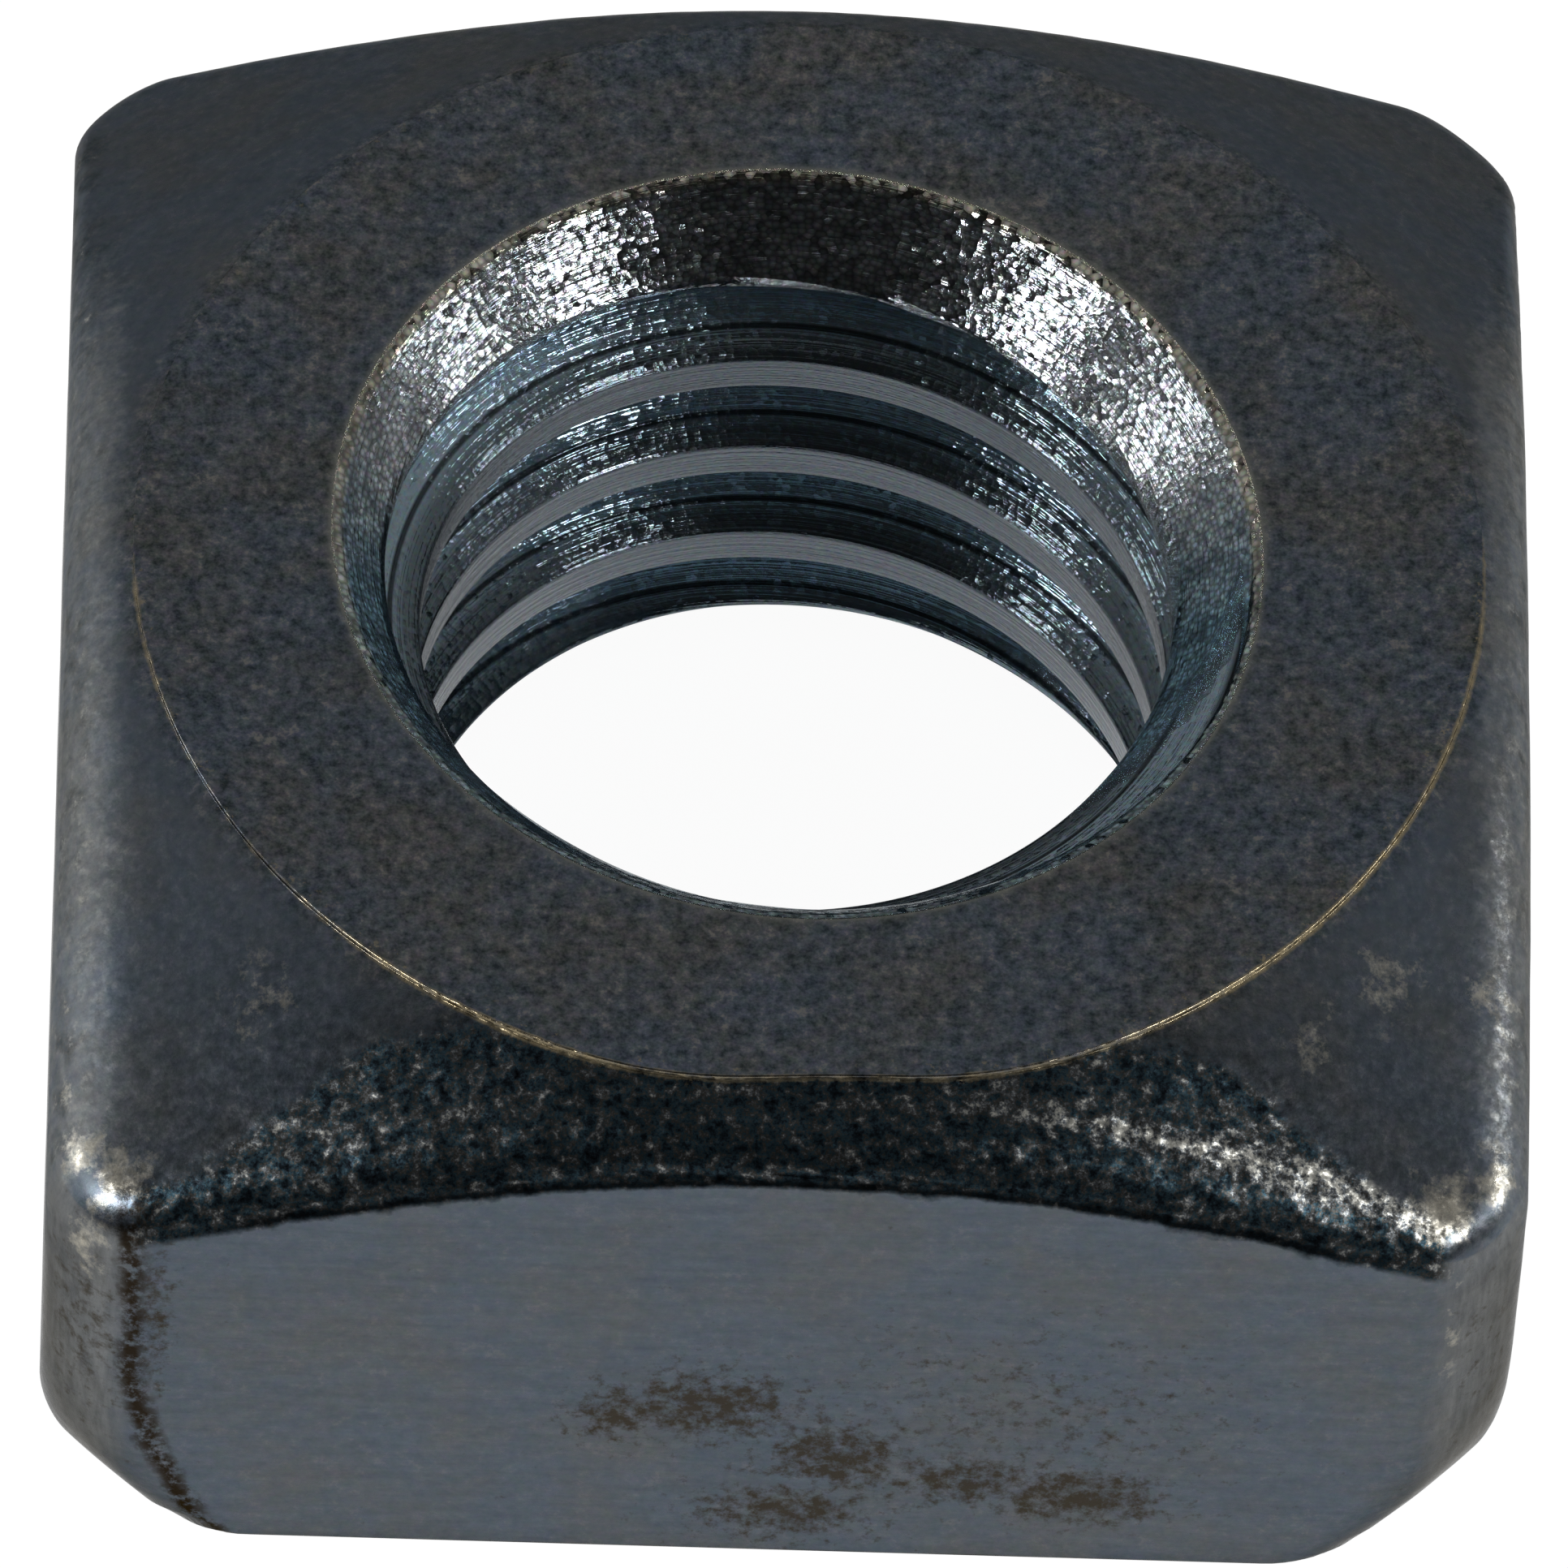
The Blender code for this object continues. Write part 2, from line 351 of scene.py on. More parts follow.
# Where the skin differs, each 0 to 1 at every point of the outside.
def wearMasks(angle, r, z, zone):
    f, w = nutForm, wear
    x, y = r * np.cos(angle), r * np.sin(angle)
    inward = -sideDistance(x, y)
    below = -crownDistance(x, y, z)
    outside = ((zone == "crown") | (zone == "side"))[:, None]
    ahead = -y > np.abs(x) - 0.2

    # the corners stay smooth where the die pressed the edges
    cornerGap = np.minimum(np.abs(x), np.abs(y)) - (f["acrossFlats"] / 2 - f["cornerRound"]) - 0.1
    plain = np.clip(1.0 - cornerGap / 0.30, 0.0, 1.0)
    corner = (1.0 - plain) * (zone == "side")[:, None] * (y < 0)
    elsewhere = np.where(y > np.abs(x), w["behindShare"], w["besideShare"])
    share = np.where(ahead, readOff(w["pressedShare"], x), elsewhere)
    reach = np.where(ahead, readOff(w["pressedReach"], np.abs(x)), w["otherReach"])
    pressed = np.clip((reach - inward) / 0.45, 0.0, 1.0) * np.clip(1.8 - below / 0.16, 0.0, 1.0)
    pressed = pressed * plain * share * outside
    across = np.clip(0.5 + (inward - below) / 2.0, 0.0, 1.0)     # 0.5 on the edge, more above

    # painted highlight: a band along the rolled edge in front, brightest to the right, that
    # lightens the crystals
    paintedGlint = bell(inward - readOff(w["glintInward"], np.abs(x)), readOff(w["glintWidth"], x))
    paintedGlint = paintedGlint * readOff(w["glintShare"], x)
    leftGlint, rightGlint = w["besideGlint"]
    beside = np.where(x > 0, rightGlint, leftGlint) * np.clip((1.0 - y) / 5.0, 0.0, 1.0)
    paintedGlint = np.where(ahead, paintedGlint, beside * bell(inward - 0.28, 0.22)) * outside

    # the rolled edges at the two sides get a soft band of painted sheen, lighter and rougher
    wornSheen = bell(np.maximum(inward - 0.25, 0.0), w["wornReach"])
    wornSheen = wornSheen * np.clip(1.4 - below / 0.9, 0.0, 1.0)
    for slant in (y, -y):
        wornSheen = wornSheen * np.clip((np.abs(x) + slant + 0.3) / 0.9, 0.0, 1.0)
    wornSheen = wornSheen * np.clip((5.2 - y) / 3.0, 0.3, 1.0) * outside

    # spots of painted highlight
    highlightSpots = np.zeros(x.shape)
    for atX, atY, atZ, wide, high, amount in w["bruises"]:
        away = ((x - atX) ** 2 + (y - atY) ** 2) / wide ** 2 + ((z - atZ) / high) ** 2
        highlightSpots = np.maximum(highlightSpots, amount * np.exp(-away))

    # the bearing face's edge, gold with painted highlight, painted sparks just inside it, and the
    # hole's rim
    onTop = z > f["thickness"] - 0.1
    shown = readOff(w["lipShown"], np.degrees(angle) % 360.0) * onTop
    fromLip = r - bearingCurve(angle)
    return {"pressed": pressed, "across": across, "paintedGlint": paintedGlint, "wornSheen": wornSheen,
            "corner": corner, "highlightSpots": highlightSpots * outside,
            "lip": bell(fromLip, 0.045) * shown, "nearLip": bell(fromLip + 0.07, 0.10) * shown,
            "rim": bell(r - rimCurve(angle) + 0.03, 0.090) * onTop}


# The hole's rows, from below upwards. They follow the thread and are cut off at the two rims.
def holeRows(angles):
    h = holeForm
    marks = h["rowsFromCrest"]
    offsets = sorted([-m for m in marks[1:]] + marks + [h["pitch"] / 2])
    start = h["crestAtBack"] - h["pitch"] / 4
    base = np.array([start + h["pitch"] * turn + o for turn in range(-5, 3) for o in offsets])
    z = base[:, None] + h["pitch"] * angles[None, :] / (2 * math.pi)
    low, high = h["rowEnds"]
    z = np.clip(z, low, nutForm["thickness"] - high)
    angle = np.broadcast_to(angles, z.shape)
    return angle, holeRadius(angle, z), z, len(offsets)


def inSpace(angle, r, z):
    return np.stack([r * np.cos(angle), r * np.sin(angle), z], axis=2).reshape(-1, 3)


# Faces between the rows of the outside, of the hole, and where the two meet. With them comes
# their material: 0 for the formed skin, 1 for the cut one, which the countersinks belong to.
def nutFaces(zone, outCols, inRows, inCols, rowsPerTurn):
    outRows = len(zone)
    first = outRows * outCols
    faces, kinds = [], []
    for i in range(outRows - 1):
        kind = int("rim" in (zone[i], zone[i + 1]))
        for j in range(outCols):
            k = (j + 1) % outCols
            low, high = i * outCols, (i + 1) * outCols
            faces.append((low + j, high + j, high + k, low + k))
            kinds.append(kind)
    for j in range(inCols):
        k = (j + 1) % inCols
        climbed = rowsPerTurn if k == 0 else 0       # after a turn a row meets the next turn's
        for i in range(inRows - 1):
            low = min(i + climbed, inRows - 1)
            high = min(low + 1, inRows - 1)
            faces.append((first + i * inCols + j, first + (i + 1) * inCols + j,
                          first + high * inCols + k, first + low * inCols + k))
            kinds.append(1)
    # the hole has one column for two of the outside, so each step there is three triangles
    for row, ringRow in ((0, inRows - 1), (outRows - 1, 0)):
        for j in range(inCols):
            k = (j + 1) % inCols
            o = [row * outCols + (2 * j + s) % outCols for s in range(3)]
            p, q = first + ringRow * inCols + j, first + ringRow * inCols + k
            faces += [(p, o[1], o[0]), (p, q, o[1]), (q, o[2], o[1])]
            kinds += [1] * 3
    return faces, kinds


def buildNutMesh():
    angles = columnAngles()
    r, z, zone = outerPaths(angles)
    a = np.broadcast_to(angles, r.shape)
    x, y = r * np.cos(a), r * np.sin(a)
    masks = wearMasks(a, r, z, zone)

    # small dents: waves all over, stronger and shorter on the pressed edge
    waves = grain(x, y, z, 0.8) * wear["waveDepth"]
    waves = waves + np.abs(grain(x, y, z, 4.5, 4)) * wear["dentDepth"] * masks["pressed"]
    sink = np.clip(waves + 0.004, 0.0, None) * ((zone == "crown") | (zone == "side"))[:, None]
    # the rows just inside the upper rim lie on the wall already, and a ray to them would
    # cross the thread's groove
    upperRim = (zone == "rim")[:, None] & (z > nutForm["thickness"] / 2)
    onWall = upperRim & (z < nutForm["thickness"] - 0.04)
    settledR, settledZ = settle(a, r, z, sink)
    r, z = np.where(onWall, r, settledR), np.where(onWall, z, settledZ)

    holeA, holeR, holeZ, rowsPerTurn = holeRows(angles[::2])
    points = np.concatenate([inSpace(a, r, z), inSpace(holeA, holeR, holeZ)])
    faces, kinds = nutFaces(zone, len(angles), *holeR.shape, rowsPerTurn)
    mesh = bpy.data.meshes.new("squareNut")
    mesh.from_pydata((points * mm).tolist(), [], faces)
    mesh.polygons.foreach_set("material_index", kinds)

    inSink = np.clip(1.0 - (holeR - upperConeRadius(holeA, holeZ)) / 0.05, 0.0, 1.0)
    layers = {name: (mask, np.zeros(holeR.size)) for name, mask in masks.items()}
    layers["countersunk"] = (upperRim, inSink)
    for name, (outer, inner) in layers.items():
        layer = mesh.attributes.new(name, 'FLOAT', 'POINT')
        values = np.concatenate([outer.ravel(), inner.ravel()])
        layer.data.foreach_set("value", values.astype(np.float32))

    shape = bmesh.new()
    shape.from_mesh(mesh)
    bmesh.ops.remove_doubles(shape, verts=shape.verts, dist=2e-4 * mm)
    bmesh.ops.dissolve_degenerate(shape, edges=shape.edges, dist=1e-4 * mm)
    bmesh.ops.recalc_face_normals(shape, faces=shape.faces)
    openEdges = sum(not e.is_manifold for e in shape.edges)
    shape.to_mesh(mesh)
    shape.free()
    mesh.shade_smooth()
    mesh.calc_loop_triangles()
    tell(f"nut mesh, {len(mesh.loop_triangles)} triangles, {openEdges} open edges")
    return mesh


# Materials

# An sRGB hex colour as linear values.
def hexColour(code):
    parts = [int(code[i:i + 2], 16) / 255.0 for i in (1, 3, 5)]
    return [p / 12.92 if p <= 0.04045 else ((p + 0.055) / 1.055) ** 2.4 for p in parts] + [1.0]


# Adds one shader node. What its sockets hold comes by name in a dictionary, or in the
# sockets' own order: numbers, hex colours and other nodes' outputs, which are linked.
def addNode(tree, kind, *values, **settings):
    made = tree.nodes.new("ShaderNode" + kind)
    for name, value in settings.items():
        setattr(made, name, value)
    if values and isinstance(values[0], dict):
        held = [(made.inputs[name], value) for name, value in values[0].items()]
    else:
        held = list(zip([s for s in made.inputs if s.enabled], values))
    for socket, value in held:
        if isinstance(value, Output):
            tree.links.new(value.socket, socket)
        else:
            socket.default_value = hexColour(value) if isinstance(value, str) else value
    return Output(made)


# A node's output. Sums with it become Math nodes, so that a mask reads as a formula.
class Output:
    def __init__(self, node, socket=None):
        self.node = node
        self.socket = socket or next((s for s in node.outputs if s.enabled), None)

    def __getitem__(self, name):
        return Output(self.node, self.node.outputs[name])

    def each(self):
        return [Output(self.node, socket) for socket in self.node.outputs]

    def do(self, operation, *others):
        return addNode(self.node.id_data, "Math", self, *others, operation=operation)

    def __add__(self, other):
        return self.do('ADD', other)

    def __sub__(self, other):
        return self.do('SUBTRACT', other)

    def __rsub__(self, other):
        return addNode(self.node.id_data, "Math", other, self, operation='SUBTRACT')

    def __mul__(self, other):
        return self.do('MULTIPLY', other)

    def __truediv__(self, other):
        return self.do('DIVIDE', other)

    def __pow__(self, other):
        return self.do('POWER', other)

    def __abs__(self):
        return self.do('ABSOLUTE')

    def orMore(self, other):
        return self.do('MAXIMUM', other)


def newMaterial(name):
    made = bpy.data.materials.new(name)
    made.use_nodes = True
    made.node_tree.nodes.clear()
    return made, made.node_tree


def pointsInMm(tree):
    place = addNode(tree, "TexCoord")["Object"]
    return addNode(tree, "VectorMath", place, 1.0 / mm, operation='SCALE')


# The surface's normal leaned a random way in each cell, like the facets of zinc crystals.
def tilted(tree, cells, amount):
    normal = addNode(tree, "NewGeometry")["Normal"]
    way = addNode(tree, "VectorMath", cells, (0.5, 0.5, 0.5), operation='SUBTRACT')
    lean = addNode(tree, "VectorMath", way, amount, operation='SCALE')
    both = addNode(tree, "VectorMath", normal, lean, operation='ADD')
    return addNode(tree, "VectorMath", both, operation='NORMALIZE')


# Zinc plated steel, cold formed, tumbled, then barrel plated and passivated: dark slate satin
# with warm and cool specks, and a coarse glittering skin where the die pressed the edge.
platedSkin = {
    "base": "#535b64",
    "warm": "#5c5b57",
    "fleck": "#85827a",
    "lip": "#9c8f73",          # gold edge around the bearing face, also its painted highlight
    "rim": "#7f8079",
    "bare": "#bdb8aa",         # painted highlight on the corners and edges, near white
    "rubbed": "#7d7f80",
    "cornerTone": "#696762",
    "foot": "#07090b",         # the near black line at the foot of the pressed edge, painted shade of the fold
    "grazing": "#b4b2ae",      # shown at grazing angles, duller than bare zinc
    "stain": "#372f22",
    "seamTone": "#241d16",
    # crystals of the pressed edge, from black through teal and brown to bare; their light end also
    # serves as painted highlight
    "crystals": [(0.30, "#0c0e11"), (0.42, "#1f262c"), (0.49, "#2b3e47"), (0.54, "#3b3833"),
                 (0.61, "#50555a"), (0.74, "#b9b8b0")],
    "cloudsPerMm": 0.8,
    "patchesPerMm": 3.5,
    "specksPerMm": 6.0,        # of rust
    "flecksPerMm": 9.0,
    "gritPerMm": 10.0,         # crystals of the pressed edge
    "streaksPerMm": (1.2, 1.2, 9.0),      # along the sides, from the drawing of the bar
    "scratchesPerMm": (9.0, 9.0, 1.6),    # upright, on the corners
    "topFrom": (5.90, 6.00),   # heights between which the side's skin turns into the top's
    "fleckDepth": 0.006,
    "roughness": (0.20, 0.30),
    "pressedRoughness": 0.14,         # added on the pressed edge
    "wornRoughness": (0.38, 0.12),    # added on the bands of painted sheen, left and right
    # rust flecks on the front: x, z, half width, half height, share
    "stains": [(-0.60, 2.20, 0.95, 0.60, 1.0), (-1.40, 2.05, 0.55, 0.50, 0.9),
               (0.55, 1.50, 0.80, 0.60, 1.0), (0.10, 0.65, 1.00, 0.50, 0.92),
               (1.75, 1.20, 1.00, 0.45, 0.90), (2.70, 1.00, 0.95, 0.50, 1.0),
               (2.2, 2.2, 2.4, 1.5, 0.45), (-5.5, 3.3, 0.20, 1.3, 0.75),
               (-6.1, 2.9, 0.50, 1.6, 0.55), (6.2, 2.9, 0.4, 1.9, 0.35)],
    # the dark line beside the left corner: heights and how far left it lies
    "seam": [(0.0, -4.80), (0.3, -5.08), (1.3, -5.47), (2.2, -5.68), (4.6, -5.74)],
}


# Rust flecks on the front face, and the dark line that runs down beside the left corner.
def rustAndSeam(tree, inMm, patch, corner):
    f = platedSkin
    x, y, z = addNode(tree, "SeparateXYZ", inMm).each()
    specks = addNode(tree, "TexNoise", inMm, f["specksPerMm"], 6.0, 0.72)
    rust = 0.0
    for atX, atZ, wide, high, share in f["stains"]:
        across, up = (x - atX) / wide, (z - atZ) / high
        near = ((across * across + up * up) * -1.0).do('EXPONENT') * share
        rust = near.orMore(rust)
    rust = addNode(tree, "MapRange", specks + rust * 0.30, 0.63, 0.81)
    front = addNode(tree, "MapRange", y, -6.44, -6.34, 1.0, 0.0)
    rust = rust * front.orMore(corner * 0.8)

    (lowZ, lowX), *rest = f["seam"]
    line = (patch - 0.5) * 0.25 + lowX
    for atZ, atX in rest:
        line = line + addNode(tree, "MapRange", z, lowZ, atZ, 0.0, atX - lowX)
        lowZ, lowX = atZ, atX
    seam = addNode(tree, "MapRange", abs(x - line), 0.03, 0.17, 1.0, 0.0)
    seam = seam * addNode(tree, "MapRange", specks, 0.40, 0.53)
    seam = seam * addNode(tree, "MapRange", y, -6.3, -6.0, 1.0, 0.0)
    return rust.orMore(seam), seam


def makePlatedSkin():
    f = platedSkin
    skin, tree = newMaterial("zincPlateFormed")
    inMm = pointsInMm(tree)
    x, y, z = addNode(tree, "SeparateXYZ", inMm).each()
    names = ("pressed", "across", "paintedGlint", "wornSheen", "highlightSpots", "corner", "lip", "nearLip", "rim")
    pressed, across, paintedGlint, wornSheen, highlightSpots, corner, lip, nearLip, rim = [
        addNode(tree, "Attribute", attribute_name=name)["Fac"] for name in names]
    cloud = addNode(tree, "TexNoise", inMm, f["cloudsPerMm"], 4.0, 0.6)
    flecks = addNode(tree, "TexNoise", inMm, f["flecksPerMm"], 3.0, 0.75)
    patch = addNode(tree, "TexNoise", inMm, f["patchesPerMm"], 4.0, 0.65)
    grit = addNode(tree, "TexNoise", inMm, f["gritPerMm"], 4.0, 0.7)
    elsewhere = addNode(tree, "VectorMath", inMm, (7.0, 3.0, 5.0))
    shade = addNode(tree, "TexNoise", elsewhere, f["gritPerMm"] * 0.8, 4.0, 0.75)

    def sideOrTop(onSide, onTop):
        return addNode(tree, "MapRange", z, *f["topFrom"], onSide, onTop)

    # the plate, with flecks a few hundredths of a millimetre wide, stronger on the top
    warmth = addNode(tree, "MapRange", cloud, 0.42, 0.62) * sideOrTop(0.4, 0.65)
    plate = addNode(tree, "Mix", warmth, f["base"], f["warm"], data_type='RGBA')
    plate = addNode(tree, "Mix", sideOrTop(0.14, 0.26), plate, flecks["Color"],
                    data_type='RGBA', blend_type='OVERLAY')
    strong = sideOrTop(0.10, 0.60)
    level = addNode(tree, "MapRange", flecks, 0.30, 0.70, 1.0 - strong, strong + 1.0)
    plate = addNode(tree, "Mix", 1.0, plate, level, data_type='RGBA', blend_type='MULTIPLY')
    fleck = addNode(tree, "MapRange", flecks + patch * 0.5, 0.86, 0.98) * sideOrTop(0.1, 0.6)
    plate = addNode(tree, "Mix", fleck, plate, f["fleck"], data_type='RGBA')

    # faint streaks along the sides, and painted sheen: lighter, warmer patches on the rolled side
    # edges
    along = addNode(tree, "VectorMath", inMm, f["streaksPerMm"], operation='MULTIPLY')
    streaks = addNode(tree, "TexNoise", along, 1.0, 4.0, 0.7)
    streaked = addNode(tree, "MapRange", streaks, 0.30, 0.70, sideOrTop(0.98, 1.0),
                       sideOrTop(1.18, 1.0))
    patchySheen = addNode(tree, "MapRange", wornSheen + (patch + shade) * 1.2 - 1.2, 0.40, 1.15)
    patchySheen = patchySheen * addNode(tree, "MapRange", wornSheen, 0.0, 0.3)
    # painted sheen: the bands are made lighter, a little more so to the right
    sheenLift = patchySheen * addNode(tree, "MapRange", x, -3.0, 3.0, 0.9, 1.0) + 1.0
    plate = addNode(tree, "Mix", patchySheen * 0.6, plate, f["warm"], data_type='RGBA')
    plate = addNode(tree, "Mix", 1.0, plate, streaked * sheenLift,
                    data_type='RGBA', blend_type='MULTIPLY')

    # the pressed edge: a ragged patch of crystals, shifted towards the light ones as a painted
    # highlight where it glints
    crystals = addNode(tree, "ValToRGB", shade + paintedGlint * 0.23)
    tones = crystals.node.color_ramp.elements
    for at, code in f["crystals"]:
        tones.new(at).color = hexColour(code)
    tones.remove(tones[0])
    tones.remove(tones[-1])
    edge = addNode(tree, "MapRange", pressed + (patch - 0.5) * 0.9, 0.20, 0.60)
    edge = edge * addNode(tree, "MapRange", pressed, 0.0, 0.1)
    colour = addNode(tree, "Mix", edge, plate, crystals, data_type='RGBA')
    # painted shade: a near black line along the foot of the pressed edge
    foot = addNode(tree, "MapRange", across + (patch - 0.5) * 0.12, 0.43, 0.50, 1.0, 0.0) * edge
    foot = foot * addNode(tree, "MapRange", abs(x), 4.7, 5.5, 1.0, 0.1)
    colour = addNode(tree, "Mix", foot * 0.9, colour, f["foot"], data_type='RGBA')

    # the upright corners are warmer and rubbed lighter, with vertical scratches
    colour = addNode(tree, "Mix", corner * 0.45, colour, f["cornerTone"], data_type='RGBA')
    upright = addNode(tree, "VectorMath", inMm, f["scratchesPerMm"], operation='MULTIPLY')
    scratches = addNode(tree, "TexNoise", upright, 1.0, 4.0, 0.7)
    rubbed = addNode(tree, "MapRange", scratches + patch * 0.6, 0.62, 1.02, 0.0, 0.80) * corner
    colour = addNode(tree, "Mix", rubbed, colour, f["rubbed"], data_type='RGBA')
    # painted highlights: near white spots on the corners and edges
    uneven = (shade + patch - 1.0) * 1.5
    bare = addNode(tree, "MapRange", highlightSpots + uneven, 0.30, 0.95, 0.0, 0.9)
    bare = bare * addNode(tree, "MapRange", highlightSpots, 0.02, 0.20)
    colour = addNode(tree, "Mix", bare, colour, f["bare"], data_type='RGBA')

    # the gold edge around the bearing face, broken, with painted highlight and painted sparks, and
    # around the countersink
    goldHighlight = addNode(tree, "MapRange", lip * (shade * 1.1 + patch * 0.7), 0.48, 0.92)
    paintedSparks = addNode(tree, "MapRange", grit, 0.60, 0.66) * nearLip
    goldHighlight = goldHighlight.orMore(paintedSparks * 0.8)
    colour = addNode(tree, "Mix", goldHighlight, colour, f["lip"], data_type='RGBA')
    shown = addNode(tree, "MapRange", rim * (patch + 0.3), 0.35, 0.75, 0.0, 0.8)
    colour = addNode(tree, "Mix", shown, colour, f["rim"], data_type='RGBA')

    rust, seam = rustAndSeam(tree, inMm, patch, corner)
    colour = addNode(tree, "Mix", rust * 0.85, colour, f["stain"], data_type='RGBA')
    colour = addNode(tree, "Mix", seam * 0.8, colour, f["seamTone"], data_type='RGBA')

    # crystals lean the normal, most of all under the painted highlights and sheen
    lean = edge * addNode(tree, "MapRange", paintedGlint, 0.0, 0.8, 0.6, 1.4)
    for place, amount in ((bare, 0.7), (goldHighlight, 1.1), (patchySheen, 0.8)):
        lean = lean.orMore(place * amount)
    facets = tilted(tree, grit["Color"], lean.orMore(0.12))
    bump = addNode(tree, "Bump", {"Strength": 0.35, "Distance": f["fleckDepth"] * mm,
                                  "Height": flecks, "Normal": facets})
    rough = addNode(tree, "MapRange", flecks, 0.3, 0.7, *f["roughness"])
    matt = addNode(tree, "MapRange", x, -3.0, 3.0, *f["wornRoughness"]) * (1.0 - bare)
    rough = rough + edge * f["pressedRoughness"] + wornSheen * matt
    shader = addNode(tree, "BsdfPrincipled", {
        "Base Color": colour, "Metallic": 1.0, "Roughness": rough, "Normal": bump,
        "Specular Tint": f["grazing"]})
    addNode(tree, "OutputMaterial", shader)
    return skin


# The same plate over steel that a drill and a tap have cut: fine tool lines run around, and
# the thin blue passivate film shows on the flanks and low in the countersink.
cutSkin = {
    "crest": "#596168",
    "cone": "#989ea2",
    "film": "#6d8a98",
    "flank": "#8799a4",
    "brown": "#5d686e",
    "root": "#171a1d",
    "rim": "#a5a294",
    "brownTo": (3.46, 3.62),      # radii between which a flank turns from brown to blue
    "darkLineAt": 3.60,           # radius of the dark line on each flank, painted shade of a small step
    "rootFrom": (3.90, 3.97),
    "patchesPerMm": 2.4,
    "crystalsPerMm": 18.0,
    "linesPerMm": 22.0,
    "beadsPerMm": 19.0,           # small round facets that the cutting edge left, in rows
    "coneLean": 0.34,
    "flankLean": 0.42,
    "beadDepth": 0.003,
    "lineDepth": 0.018,
    "crystalDepth": 0.01,
    "roughness": (0.17, 0.13),    # of the thread and of the countersink
}


# Places for the tool lines: along the thread they climb with it, in the countersink they
# are rings.
def toolLines(tree, inMm, z, turns, countersunk):
    f = cutSkin
    phase = turns * (2 * math.pi)
    size = f["linesPerMm"] * holeForm["pitch"] / (2 * math.pi)
    helix = addNode(tree, "CombineXYZ", phase.do('COSINE') * size, phase.do('SINE') * size,
                    z * 0.8)
    rings = addNode(tree, "VectorMath", inMm, (0.5, 0.5, f["linesPerMm"]), operation='MULTIPLY')
    place = addNode(tree, "Mix", countersunk, helix, rings, data_type='VECTOR')
    return addNode(tree, "TexNoise", place, 1.0, 4.0, 0.75)


